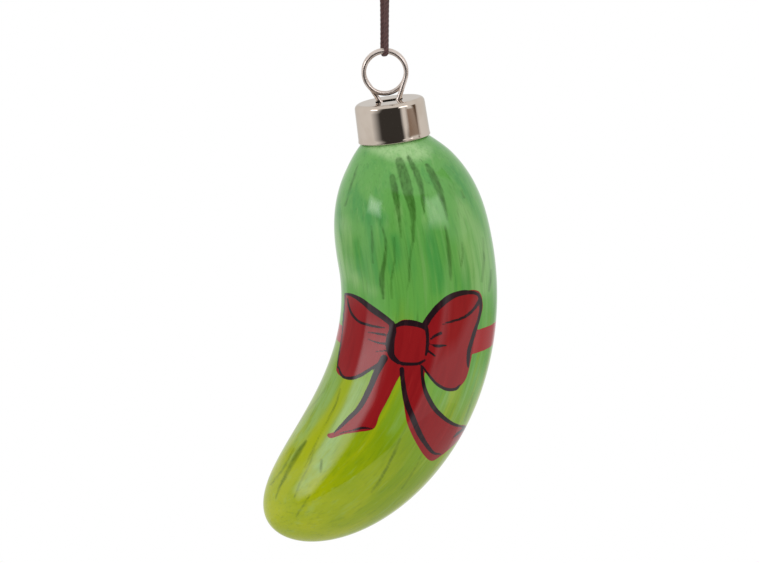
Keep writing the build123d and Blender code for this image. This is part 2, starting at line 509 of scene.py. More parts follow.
def hangerPath():
    eye, rise = wire["eyeRadius"], neck["eyeRise"]
    legX, half, bendDepth = wire["legSpacing"] / 2, wire["passSpacing"] / 2, wire["legBendDepth"]
    slope = math.atan2(rise + bendDepth, legX) - math.acos(eye / math.hypot(legX, rise + bendDepth))
    drop = math.degrees(slope)
    corners = [  # a leg from its end up to where it meets the eye at a tangent
        (wire["legEndSpacing"] / 2, -wire["legEndDepth"]), (wire["legBellyX"], -wire["legBellyDepth"]),
        (legX, -wire["legStraight"]), (legX, -bendDepth), (eye * math.cos(slope), rise - eye * math.sin(slope)),
    ]

    def leg(side, back):
        return roundedRun([Vector((side * across, back, up)) for across, up in corners], wire["bends"])

    short, turn, low = wire["steps"]
    under = []
    for k in range(1, low):  # the half turn below, from the back pass to the front one
        angle = math.pi * k / low
        depth = math.hypot(eye, half) * math.sin(angle)
        under.append(Vector((eye * math.cos(angle), half * math.cos(angle), rise - depth)))
    path = leg(-1, half)[:-1] + eyeArc(half, 180 + drop, 180, short)[:-1] + eyeArc(half, 180, 0, turn)
    path += under + eyeArc(-half, 180, 0, turn) + eyeArc(-half, 0, -drop, short)[1:] + leg(1, -half)[-2::-1]
    return [neckPoint(*point) for point in path]


def wireTree(sizes):
    tree, given = sizedTree("bentWire", sizes)
    ring = addNode(tree, "GeometryNodeCurvePrimitiveCircle", {"Resolution": given["Sides"], "Radius": given["Radius"]})
    tube = addNode(tree, "GeometryNodeCurveToMesh", {
        "Curve": given["Geometry"], "Profile Curve": ring.outputs["Curve"], "Fill Caps": True})
    return endTree(tree, tube.outputs["Mesh"], given["Finish"])


def hangerMesh():
    curve, _ = newCurve("hangerRun", "POLY", hangerPath())
    sizes = {"Radius": wire["diameter"] / 2, "Sides": wire["sides"], "Finish": wireFinish}
    return outward(plainMesh(runTree(newObject("hangerRun", curve), wireTree(sizes), sizes), "wireHanger"))


hanger = newObject("wireHanger", hangerMesh())
print("hanger bent")


# Cap: a drawn cup with a slot for the legs, made as loops of points from the slot out, down and back inside

cap = {
    "height": 9.1 * mm,
    "radius": 8.35 * mm,
    "draft": 1.2,
    "wall": 0.45 * mm,
    "edgeRound": 1.1 * mm,
    "rimRound": 0.3 * mm,
    "flare": 0.16 * mm,  # the rim's outward turn
    "flareHeight": 1.1 * mm,
    "slot": (6.247 * mm, 3.8 * mm),
    "slotCorner": 0.5 * mm,
    "slotEdge": 0.12 * mm,
    "points": 160,
    "rows": (14, 24, 6),  # down the edge, the side and the rim
    "topShares": (0.05, 0.3, 0.65, 0.97),  # loops from the slot to the edge
    "underShares": (0.35, 0.75),
}


def slotReach(angle):  # from the middle of the slot to its rounded edge
    halfX, halfY, corner = cap["slot"][0] / 2, cap["slot"][1] / 2, cap["slotCorner"]
    c, s = abs(math.cos(angle)), abs(math.sin(angle))
    reach = min(halfX / max(c, 1e-9), halfY / max(s, 1e-9))
    x, y = halfX - corner, halfY - corner
    if reach * c > x and reach * s > y:
        dot = x * c + y * s
        reach = dot + math.sqrt(max(dot * dot - (x * x + y * y - corner * corner), 0))
    return reach


def capProfile():  # radius and height of each loop, outside from the top to the rim and inside back up
    height, radius, turn, rim = [cap[key] for key in ("height", "radius", "edgeRound", "rimRound")]
    edgeRows, sideRows, rimRows = cap["rows"]
    slope = math.tan(math.radians(cap["draft"]))
    edge = radius - height * slope - turn
    outside, inside = [], []
    for wall, rows in ((0.0, outside), (cap["wall"], inside)):
        for k in range(edgeRows + 1):
            angle = math.radians(90 - cap["draft"]) * k / edgeRows
            rows.append((edge + (turn - wall) * math.sin(angle), (turn - wall) * math.cos(angle) - turn))
        for k in range(1, sideRows + 1):
            depth = turn + (height - turn - rim) * k / sideRows
            flare = max(0, 1 - (height - depth) / cap["flareHeight"]) ** 2 * cap["flare"]
            rows.append((radius - (height - depth) * slope - wall + flare, -depth))
    widest = outside[-1][0]
    for k in range(1, rimRows + 1):
        angle = math.radians(90 * k / rimRows)
        outside.append((widest - rim + rim * math.cos(angle), -height + rim - rim * math.sin(angle)))
    return outside, inside[::-1]


def capMesh():
    outside, inside = capProfile()
    count = cap["points"]
    angles = [2 * math.pi * (k + 0.5) / count for k in range(count)]
    edge = cap["slotEdge"]
    loops = []
    for offset, up in ((0, -cap["wall"]), (0, -cap["wall"] / 2), (0, -edge), (edge * 0.3, -edge * 0.3), (edge, 0)):
        loops.append([(slotReach(a) + offset, up) for a in angles])
    for share in cap["topShares"]:
        loops.append([((slotReach(a) + edge) * (1 - share) + outside[0][0] * share, 0.0) for a in angles])
    loops += [[(radius, up)] * count for radius, up in outside + inside]
    for share in cap["underShares"]:
        loops.append([(inside[-1][0] * (1 - share) + slotReach(a) * share, -cap["wall"]) for a in angles])
    vertices = []
    for loop in loops:
        vertices += [neckPoint(r * math.cos(a), r * math.sin(a), up) for (r, up), a in zip(loop, angles)]
    return outward(newMesh("silverCap", vertices, quadFaces(len(loops), count, rowLoop=True)))


capPiece = newObject("silverCap", capMesh(), capFinish)
print("cap drawn")


# Glass: a round section along a spine that leaves the neck straight and then bends

glass = {
    "Rows": 340,
    "Inner Rows": 56,
    "Lip Rows": 9,
    "Columns": 217,
    "Foot X": neckFoot.x,
    "Foot Z": neckFoot.z,
    "Body Tilt": math.radians(10.2),
    "Neck Tilt": neckLean,
    "Straight Run": 27.7 * mm,
    "Bend Radius": 56 * mm,
    "Length": 104.9 * mm,
    "Belly Station": 29 * mm,
    "Belly Radius": 18.1 * mm,
    "Crown Rise": 4.605 * mm,
    "Shoulder Power": 2.8,
    "Shoulder Fullness": 0.84,
    "Tip Power": 3.55,
    "Neck Radius": 7.5 * mm,
    "Bore Radius": 6.2 * mm,
    "Neck Blend": 0.6 * mm,
    "Neck Easing": 6 * mm,  # over which the section turns from the neck's lean
    "Lip Station": -8.25 * mm,
    "Lip Round": 0.4 * mm,
    "Foot Wall": 1.2 * mm,
    "Tip Wall": 2.8 * mm,
    "Wall Power": 3.0,
    "Weld": 0.004 * mm,
    "Tip Crowding": 1.5,  # closer rows towards the tip
    "Front Crowding": 0.35,  # closer columns on the painted front
}


def glassPlace(tree, given, station, radius, angle):  # where a station, radius and angle lie on the bent glass
    tilt, bend, lean, run = [given[key] for key in ("Body Tilt", "Bend Radius", "Neck Tilt", "Straight Run")]
    above = station.to("MINIMUM", 0)
    along = station.to("MAXIMUM", 0).to("MINIMUM", run)
    heading = tilt - (station - run).to("MAXIMUM", 0) / bend
    swing = bend * (heading.to("COSINE") - tilt.to("COSINE"))
    dip = bend * (tilt.to("SINE") - heading.to("SINE"))
    x = along * tilt.to("SINE") + given["Foot X"] + above * lean.to("SINE") + swing
    z = given["Foot Z"] - (along * tilt.to("COSINE") + above * lean.to("COSINE") + dip)
    facing = (lean - tilt) * (1 - station.step(0.0, given["Neck Easing"])) + heading
    out = radius * angle.to("SINE")
    y = radius * angle.to("COSINE") * -1
    x, z = x + out * facing.to("COSINE"), z + out * facing.to("SINE")
    place = term(tree, "ShaderNodeCombineXYZ", 0, {"X": x, "Y": y, "Z": z})
    return place, term(tree, "ShaderNodeCombineXYZ", 0, {"X": out, "Y": y, "Z": station})


def glassRadius(given, station, wall, neckRadius):  # one bulge up to the shoulder and one down to the tip
    belly = given["Belly Station"]
    rise = (belly - station).to("DIVIDE", belly + given["Crown Rise"] - wall, clamp=True)
    fall = (station - belly).to("DIVIDE", given["Length"] - wall - belly, clamp=True)
    shoulder = (1 - rise ** given["Shoulder Power"]) ** given["Shoulder Fullness"]
    tip = (1 - fall ** given["Tip Power"]).to("SQRT")
    bulge = (given["Belly Radius"] - wall) * shoulder * tip
    necked = bulge.to("SMOOTH_MAX", neckRadius, given["Neck Blend"])
    nearNeck = station.to("LESS_THAN", belly)
    return necked * nearNeck + bulge * (1 - nearNeck)


def gridShares(tree, given, rows):
    grid = addNode(tree, "GeometryNodeMeshGrid", {
        "Size X": 1.0, "Size Y": 1.0, "Vertices X": rows, "Vertices Y": given["Columns"]})
    spot = addNode(tree, "ShaderNodeSeparateXYZ", {0: addNode(tree, "GeometryNodeInputPosition").outputs[0]}).outputs
    turn = Term(tree, spot["Y"]) * (2 * math.pi)
    return grid.outputs["Mesh"], Term(tree, spot["X"]) + 0.5, turn - given["Front Crowding"] * turn.to("SINE")


def storeAndPlace(tree, mesh, place, straight, inner):
    for name, kind, value in (("straight", "FLOAT_VECTOR", straight), ("inner", "FLOAT", inner)):
        store = addNode(tree, "GeometryNodeStoreNamedAttribute", {"Geometry": mesh, "Name": name, "Value": value},
                        data_type=kind, domain="POINT")
        mesh = store.outputs["Geometry"]
    return addNode(tree, "GeometryNodeSetPosition", {"Geometry": mesh, "Position": place}).outputs[0]


def glassWall(tree, given, rows, neckRadius, footWall, tipWall, inner):
    mesh, down, angle = gridShares(tree, given, rows)
    first = given["Lip Station"] + given["Lip Round"]
    last = given["Length"] - tipWall
    station = (last - first) * (1 - (1 - down) ** given["Tip Crowding"]) + first
    thicker = maths(tree, "SUBTRACT", tipWall, footWall)
    wall = thicker * station.to("DIVIDE", last, clamp=True) ** given["Wall Power"] + footWall
    radius = glassRadius(given, station, wall, neckRadius)
    return storeAndPlace(tree, mesh, *glassPlace(tree, given, station, radius, angle), inner)


def glassLip(tree, given):  # the rounded rim that joins the outside to the bore
    mesh, across, angle = gridShares(tree, given, given["Lip Rows"])
    sweep = across * math.pi
    half = (given["Neck Radius"] - given["Bore Radius"]) * 0.5
    radius = half * sweep.to("COSINE") + (given["Bore Radius"] + half)
    station = given["Lip Station"] + given["Lip Round"] - given["Lip Round"] * sweep.to("SINE")
    return storeAndPlace(tree, mesh, *glassPlace(tree, given, station, radius, angle), 1.0)


def glassTree(sizes):
    tree, given = sizedTree("blownGlass", sizes)
    outside = glassWall(tree, given, given["Rows"], given["Neck Radius"], 0, 0, 0)
    inside = glassWall(
        tree, given, given["Inner Rows"], given["Bore Radius"], given["Foot Wall"], given["Tip Wall"], 1.0)
    joined = addNode(tree, "GeometryNodeJoinGeometry")
    for part in (outside, inside, glassLip(tree, given)):
        tree.links.new(part, joined.inputs[0])
    merged = addNode(tree, "GeometryNodeMergeByDistance", {"Geometry": joined.outputs[0], "Distance": given["Weld"]})
    return endTree(tree, merged.outputs[0], given["Finish"])


# Paint: a ribbon bow and brush strokes, laid on the front of the glass
# Points are millimetres right of and above the middle of the bow's knot, with a stroke's width as a third number

bowKnot = (6.96, -14.27)  # its middle, right of and above the view's target

ribbonShapes = {
    "leftLoop": [(-14.9, 11.6), (-11.2, 9.9), (-6.9, 6.7), (-3.4, 4.2), (-4.5, -2.8), (-6.9, -4.8), (-9.8, -6.7),
                 (-12.1, -8), (-14.1, -8.5), (-16, -7.7), (-17, -6.3), (-16.6, -4), (-15.7, 1.6), (-15.1, 8)],
    "rightLoop": [(3.5, 4.5), (6.8, 8.8), (10, 11), (13.5, 12.2), (16.1, 12), (17, 9.4), (16.8, 7.1),
                  (15.8, 3.6), (14.8, 0.1), (14.5, -2.8), (13.9, -5.7), (13.1, -8.3), (11.7, -10.1), (9.4, -11.1),
                  (7.1, -10.1), (4.8, -7.7), (3, -5.4)],
    "knot": [(-2.2, 5.1), (0.7, 5.3), (3.9, 3.9), (4.6, 0.7), (3.9, -2.8), (2.4, -4.7), (-0.8, -5.4), (-3.4, -4.2),
             (-4.1, -1.6), (-3.7, 2.2)],
    "leftTail": [(-5.7, -3.4), (-1.4, -4.2), (-1.6, -6.3), (-3.4, -9.8), (-5.1, -13.3), (-6.9, -16.7), (-8.3, -19.9),
                 (-12.1, -20.7), (-15.3, -21.2), (-18.2, -22.1), (-19.1, -21.2), (-17.2, -20.4), (-14.1, -17.4),
                 (-11.9, -15.2), (-10.3, -12.8), (-8.2, -8)],
    "rightTail": [(-1.6, -4.4), (3.2, -4.2), (3.5, -9.5), (4.5, -12.4), (6.2, -15.3), (8.5, -17.5), (11.2, -18.9),
                  (13.2, -19.2), (12.6, -21.1), (10, -24), (7.1, -26.3), (5.1, -27.4), (3.3, -26), (1.3, -22.8),
                  (-0.5, -18.8), (-1.3, -14.4), (-1.9, -9.5)],
}

inkStrokes = [
    [(-14.9, 11.4, 0.47), (-13.4, 11.1, 0.76), (-11.2, 9.9, 1.16), (-8.6, 7.8, 1.51), (-6.3, 6.2, 1.45),
     (-4.1, 4.5, 1.31)],
    [(-14.9, 11.4, 0.41), (-15.1, 8.3, 0.38), (-15.4, 5.1, 0.41), (-15.7, 1.6, 0.38), (-16.2, -1.6, 0.41),
     (-16.6, -4.2, 0.35), (-16.7, -5.7, 0.29)],
    [(-16.6, -5.3, 0.3), (-15.6, -7.6, 0.6), (-13.8, -8.2, 0.85), (-11.6, -7.6, 0.85), (-9.6, -6.4, 0.8),
     (-8, -5.4, 0.75), (-6.6, -4.3, 0.6)],
    [(-14.4, 10.3, 0.35), (-14, 8.3, 0.5), (-13, 6.2, 0.6), (-11.4, 4.8, 0.65), (-9.2, 4.1, 0.6),
     (-7.2, 3.7, 0.5), (-5.7, 3.5, 0.35)],
    [(-9.6, 2.5, 0.35), (-7.6, 2.2, 0.5), (-5.6, 1.9, 0.6)],
    [(-9.6, 0.9, 0.35), (-7.4, 0.1, 0.5), (-5.4, -0.2, 0.6)],
    [(-7.8, -2, 0.35), (-5, -1.7, 0.55)],
    [(-4.1, 4.5, 1.45), (-3.9, 3, 1.8), (-4.4, 1, 2.09), (-4.5, -1, 1.98), (-4, -3.1, 1.4), (-2.6, -4.5, 0.93)],
    [(-3.5, 3.8, 0.76), (-1.6, 4.6, 1.28), (0.7, 4.6, 1.45), (2.9, 4, 1.28), (4, 3.2, 0.99)],
    [(4, 3.2, 0.87), (4.2, 1.3, 0.81), (4.1, -1, 0.76), (3.8, -2.8, 0.58)],
    [(-3.4, -4, 0.76), (-1.9, -4.7, 0.81), (-0.2, -4.9, 0.81), (1.9, -4.8, 0.76), (3.6, -4, 0.52)],
    [(3.6, 4.3, 1.5), (4.9, 6.3, 1.45), (6.9, 8.6, 1.5), (9.4, 10.6, 1.45), (12, 11.6, 1.22), (14.7, 11.7, 0.87),
     (16, 11.2, 0.76)],
    [(16, 11.2, 0.7), (16.5, 9.7, 0.76), (16.5, 7.7, 0.7), (16, 5.3, 0.7), (15.2, 3, 0.81), (14.4, 0.4, 0.93),
     (13.8, -1.9, 0.99), (13.6, -4, 0.81), (13.6, -5.7, 0.35)],
    [(11.8, -9.7, 0.47), (10.6, -10.7, 0.7), (8.5, -10.7, 0.76), (6.2, -9.4, 0.7), (4.3, -7.2, 0.58),
     (3, -5.4, 0.52)],
    [(16.2, 10, 0.6), (15.2, 8.2, 0.75), (13.5, 6.5, 0.7), (11.5, 5.5, 0.65), (9.4, 4.9, 0.6), (7.8, 4.4, 0.45)],
    [(4.8, 0.7, 0.4), (5.8, 1.6, 0.7), (7.3, 2.3, 0.75)],
    [(4.9, -0.4, 0.35), (6.6, -0.7, 0.75), (8.6, -0.5, 0.35)],
    [(4.3, -1.8, 0.6), (5.9, -3, 0.5)],
    [(-5.9, -3.6, 1.8), (-6.9, -5.4, 1.63), (-7.9, -7.4, 1.5), (-9, -10, 1.4), (-10.5, -13.1, 1.3),
     (-12, -15.4, 1.2), (-14.1, -17.5, 1), (-15.9, -19.3, 0.8), (-17.5, -20.8, 0.4)],
    [(-18.3, -21.8, 0.23), (-15.6, -20.8, 0.41), (-13, -20.2, 0.47), (-10.9, -19.7, 0.64), (-8.6, -19.9, 0.35)],
    [(-1.8, -6.1, 1.16), (-1.5, -9.2, 1.1), (-0.8, -13.3, 1.34), (0.6, -17, 1.45), (2.3, -21, 1.34),
     (4.2, -24, 0.99), (5.6, -25.5, 0.76), (7.2, -25.8, 0.35)],
    [(2.8, -5.4, 0.64), (3.2, -9.2, 0.93), (4.1, -12.2, 1.1), (5.9, -15.3, 1.16), (8.3, -17.6, 0.99),
     (10.7, -19, 0.76), (13.1, -19.4, 0.35)],
    [(9.6, -22.4, 0.17), (11.2, -21, 0.58), (12.8, -19.8, 0.64)],
]

darkStrokes = [
    [(-4, 38.6, 1.4), (-3.4, 35.2, 1.7), (-2.7, 31.2, 1.2), (-2.2, 27.4, 0.65), (-2, 24.5, 0.4)],
    [(-2.4, 42.2, 2), (-1.5, 39.4, 2.5), (-0.65, 36.3, 2.6), (0.5, 31.6, 1.9), (0.9, 27.5, 0.9), (1, 23.5, 0.45)],
    [(-0.3, 43.1, 1), (1.4, 39.9, 1.5), (2.6, 36.5, 1.4), (3.1, 33.2, 1), (3.4, 29.9, 0.45)],
    [(4.1, 41.2, 1.2), (5.6, 38.5, 1.8), (7.1, 34.9, 1.6), (8.1, 31.8, 0.9), (8.9, 28.5, 0.35)],
    [(8.2, 27.1, 0.5), (8.9, 23.4, 0.9), (9.4, 18.8, 0.95), (9.6, 14.6, 0.5)],
    [(-8.8, 27.2, 0.4), (-8.6, 23.4, 0.65), (-8.5, 18.6, 0.5)],
    [(-6.4, 27.1, 0.4), (-5.5, 23.4, 0.6), (-5.7, 19.7, 0.85), (-6.4, 15.1, 1.3), (-6.1, 10.4, 0.7)],
    [(-3.6, 24.4, 0.5), (-3.4, 19.7, 0.6), (-4.3, 14.2, 0.6), (-4.1, 10.4, 0.4)],
    [(0.3, 27.1, 0.4), (0.8, 24.4, 0.6), (0.1, 19.7, 0.6), (-0.1, 15.1, 0.5), (-0.5, 12.3, 0.3)],
    [(12, 35.6, 0.4), (12.7, 33.7, 0.5)],
    [(-11.9, 41.5, 0.4), (-13.3, 37.3, 0.65), (-15, 31.8, 0.45)],
    [(12.2, 23.4, 0.4), (12.4, 20.6, 0.5), (12, 17.9, 0.4)],
    [(17, 24.4, 0.4), (17.3, 19.7, 0.55), (16.8, 14.2, 0.45)],
    [(18.9, 17, 0.4), (18.8, 14.5, 0.6), (18.4, 12, 0.4)],
    [(-24, -22.8, 0.6), (-25.6, -25.1, 1.3), (-27.6, -28.5, 1.2), (-30.1, -33.4, 0.6), (-31, -36, 0.3)],
    [(-26.8, -24.5, 0.35), (-29.3, -29.1, 0.5), (-32.1, -32.8, 0.35)],
    [(-22, -24.5, 0.3), (-23.4, -28.5, 0.5), (-25.6, -33, 0.45), (-26.8, -36, 0.25)],
    [(-20.4, -27.2, 0.7), (-20.6, -29.9, 0.54)],
    [(-2.1, -22.2, 0.4), (-3.6, -25.5, 0.75), (-6.2, -30.7, 0.75), (-8.8, -34.6, 0.5)],
    [(2.8, -26.2, 0.3), (0.3, -30.7, 0.45), (-1.8, -33.8, 0.3)],
    [(-23.1, -35.2, 0.3), (-24.7, -37.7, 0.4), (-26.2, -40.2, 0.3)],
    [(14.9, -11.5, 0.3), (13.8, -15, 0.45), (12.8, -18.1, 0.3)],
    [(-18.5, -9.2, 0.25), (-21.2, -12.9, 0.3), (-24.5, -16.9, 0.3), (-28.2, -22.6, 0.3), (-31.6, -28.2, 0.3),
     (-32.8, -31.9, 0.25)],
    [(-16.1, -10.7, 0.35), (-17, -13.8, 0.55), (-19.3, -18.5, 0.4), (-22.3, -24.5, 0.45), (-24.3, -28.8, 0.3)],
]

yellowStrokes = [
    [(-14.4, -9, 2.56), (-17.4, -15.2, 3.1), (-23.1, -24.1, 3.26), (-28, -31.7, 3.1), (-29.5, -35.7, 1.94)],
]

creamStrokes = [  # under the cap
    [(-8.2, 45.9, 2.4), (-4, 45.2, 4.2), (0, 44.6, 4), (3.6, 44.4, 2)],
]

paleStrokes = [  # broad thin pale washes: partly the paint's own, partly painted reflection of pale light down the sides of the glass
    [(11.5, 33, 1.5), (13.5, 27, 4), (15.2, 20.5, 7), (16, 13.5, 5)],
    [(-15.2, 28, 1.5), (-15.6, 24, 3.2), (-15.4, 19, 3.2), (-14.8, 15.5, 2)],
    [(-13.5, 15.5, 1.5), (-12, 14.5, 2.2), (-9, 12, 1.6)],
    [(-17.5, -7.5, 2), (-19.6, -12.1, 3.4), (-23, -18, 3), (-26, -23, 1.6)],
    [(-11.5, -9.5, 1.5), (-14, -15, 2.5), (-17.5, -21.5, 3), (-21, -28, 2.5)],
]

tealStrokes = [
    [(4.6, 27, 2), (5.8, 22, 4.2), (6.6, 17, 3.4), (6.4, 12.5, 2)],
    [(-3.6, 24.2, 1.6), (-3.2, 21, 2.4), (-3.6, 17.5, 1.5)],
    [(-12, 23, 1.6), (-11.6, 19.5, 2.6), (-11.4, 16, 1.6)],
    [(9.5, 41, 2), (12, 37.5, 3), (13, 34, 2)],
    [(-13.5, 34.5, 2), (-11, 29.5, 3.2), (-6.5, 29, 2.4)],
]

ribbonBand = {  # the ribbon's run round the glass, in millimetres; it rises and narrows to the right
    "station": 47.1, "lean": -2.45, "halfWidth": 2.85, "rise": 0.7, "narrowing": 0.75,
}

strokesOf = {
    "inkCover": inkStrokes, "darkCover": darkStrokes, "yellowCover": yellowStrokes,
    "paleCover": paleStrokes, "creamCover": creamStrokes, "tealCover": tealStrokes,
}
farOutside = -9.0  # millimetres, where no paint is near
edgeReach = 2.0  # millimetres measured round a shape
pastOutline = 0.05  # how far round from the front the strokes go


def smoothRun(points, closed, between=10):  # a smooth line through the points of a stroke or shape
    rows = np.array(points, float)
    if closed:
        rows = np.concatenate([rows[-1:], rows, rows[:2]])
    else:
        rows = np.concatenate([2 * rows[:1] - rows[1:2], rows, 2 * rows[-1:] - rows[-2:-1]])
    shares = np.arange(between)[:, None] / between
    parts = []
    for a, b, c, d in zip(rows, rows[1:], rows[2:], rows[3:]):
        bend = 2 * a - 5 * b + 4 * c - d
        twist = 3 * (b - c) + d - a
        parts.append(b + 0.5 * shares * (c - a + shares * (bend + shares * twist)))
    return np.concatenate(parts + ([] if closed else [rows[-2:-1]]))


def insideStroke(spots, stroke):  # millimetres inside the stroke's edge, negative outside
    run = smoothRun(stroke, False)
    best = np.full(len(spots), farOutside)
    reach = run[:, 2].max() / 2 + edgeReach
    near = ((spots > run[:, :2].min(0) - reach) & (spots < run[:, :2].max(0) + reach)).all(1)
    picked = spots[near]
    for x, y, width in run:
        best[near] = np.maximum(best[near], width / 2 - np.hypot(picked[:, 0] - x, picked[:, 1] - y))
    return best


def insideShape(spots, shape):  # millimetres inside a closed outline, negative outside
    run = smoothRun(shape, True, 6)
    best = np.full(len(spots), farOutside)
    near = ((spots > run.min(0) - edgeReach) & (spots < run.max(0) + edgeReach)).all(1)
    picked = spots[near]
    gap = np.full(len(picked), -farOutside)
    within = np.zeros(len(picked), bool)
    for a, b in zip(run, np.roll(run, -1, axis=0)):
        edge = b - a
        offset = picked - a
        share = np.clip(offset @ edge / max(edge @ edge, 1e-9), 0, 1)
        gap = np.minimum(gap, np.hypot(*(offset - share[:, None] * edge).T))
        crosses = (a[1] > picked[:, 1]) != (b[1] > picked[:, 1])
        slant = np.where(crosses, (picked[:, 1] - a[1]) / (edge[1] if edge[1] else 1e-9), 0) * edge[0] + a[0]
        within ^= crosses & (picked[:, 0] < slant)
    best[near] = np.where(within, gap, -gap)
    return best


def paintSpots(places):  # each point of the glass as seen from the painted side, in millimetres from the knot
    right, up, forward = [np.array(axis) for axis in viewAxes()]
    rays = places - (np.array(view["target"]) - forward * view["distance"])
    flat = np.stack([rays @ right, rays @ up], axis=1) * (view["distance"] / (rays @ forward))[:, None]
    return flat / mm - np.array(bowKnot)


def paintGlass(mesh):
    places, normals = [readRows(mesh.vertices, key, 3) for key in ("co", "normal")]
    straight = readRows(mesh.attributes["straight"].data, "vector", 3)
    inner = readRows(mesh.attributes["inner"].data, "value", 1)[:, 0] > 0.5
    front = (normals @ np.array(viewAxes()[2]) < pastOutline) & ~inner
    picked = paintSpots(places[front])
    insides = {name: [insideStroke(picked, stroke) for stroke in strokes] for name, strokes in strokesOf.items()}
    insides["ribbonCover"] = [insideShape(picked, shape) for shape in ribbonShapes.values()]
    covers = {}
    for name, rows in insides.items():
        covers[name] = np.full(len(places), farOutside)
        covers[name][front] = np.max(rows, axis=0)
    rightward = straight[:, 0] / np.maximum(np.hypot(straight[:, 0], straight[:, 1]), 1e-6)
    outer = np.maximum(rightward, 0)
    middle = ribbonBand["station"] + ribbonBand["lean"] * rightward - ribbonBand["rise"] * outer
    band = ribbonBand["halfWidth"] - ribbonBand["narrowing"] * outer - np.abs(straight[:, 2] / mm - middle)
    band[inner] = farOutside
    covers["bandCover"] = np.where(covers["ribbonCover"] > 0, farOutside, band)
    covers["ribbonCover"] = np.maximum(covers["ribbonCover"], band)
    for name, cover in covers.items():
        setValues(mesh, name, cover)


paintLook = {
    "ramp": {"top": 0.0, "upper": 0.2, "middle": 0.4, "turn": 0.52, "lower": 0.66, "tip": 1.0},  # shares of the length
    "top": srgb(102, 167, 82), "upper": srgb(96, 160, 73), "middle": srgb(97, 162, 69), "turn": srgb(122, 160, 38),
    "lower": srgb(128, 155, 12), "tip": srgb(172, 182, 8), "cream": srgb(166, 206, 142), "teal": srgb(62, 142, 66),
    "pale": srgb(150, 190, 120), "dark": srgb(49, 94, 27), "darkLow": srgb(82, 106, 8), "yellow": srgb(168, 178, 10),
    "ribbon": srgb(142, 24, 28), "ribbonDeep": srgb(128, 17, 23), "ribbonLight": srgb(160, 38, 38),
    "band": srgb(166, 40, 42), "ink": srgb(34, 18, 24), "inkThin": srgb(54, 28, 34), "bare": srgb(196, 204, 196),
}

brushWork = [  # colour, strength, area, and the marks' width and length in millimetres, lowest, highest and seed
    ("teal", 0.6, "upper", (4.2, 30, 0.5, 0.68, 11)),
    ("pale", 0.35, None, (3.4, 34, 0.54, 0.72, 17)),
    ("yellow", 0.5, "lower", (3, 40, 0.5, 0.7, 23)),
    ("teal", 0.75, "teal", (1.8, 16, 0.25, 0.6, 61)),
    # the pale area's washes also carry painted reflection down the sides of the glass
    ("pale", 0.5, "pale", (1.5, 14, 0.2, 0.6, 67)),
    ("cream", 0.9, "cream", (1.3, 10, 0.1, 0.6, 83)),
    ("dark", 0.28, None, (0.55, 26, 0.48, 0.8, 29)),
    ("pale", 0.2, None, (0.7, 22, 0.55, 0.8, 71)),
    ("dark", 0.4, None, (1.1, 18, 0.64, 0.74, 37)),
]


def streakGroup():  # long brush marks that follow the glass from neck to tip
    sizes = {key: "Float" for key in ("Width", "Length", "Low", "High", "Seed")}
    tree, given = newTree("brushMarks", "Shader", {"Straight": "Vector", **sizes}, {"Mark": "Float"})
    place = addNode(tree, "ShaderNodeSeparateXYZ", {0: given["Straight"]}).outputs
    spot = {axis: Term(tree, place[axis]) / given[key] for axis, key in zip("XYZ", ("Width", "Width", "Length"))}
    marks = term(tree, "ShaderNodeTexNoise", "Fac", {
        "Vector": term(tree, "ShaderNodeCombineXYZ", 0, spot), "W": given["Seed"], "Scale": 1.0, "Detail": 3.0,
        "Roughness": 0.55, "Distortion": 0.25}, noise_dimensions="4D")
    addNode(tree, "NodeGroupOutput", {"Mark": marks.step(given["Low"], given["High"])})
    return tree


brushMarks = streakGroup()


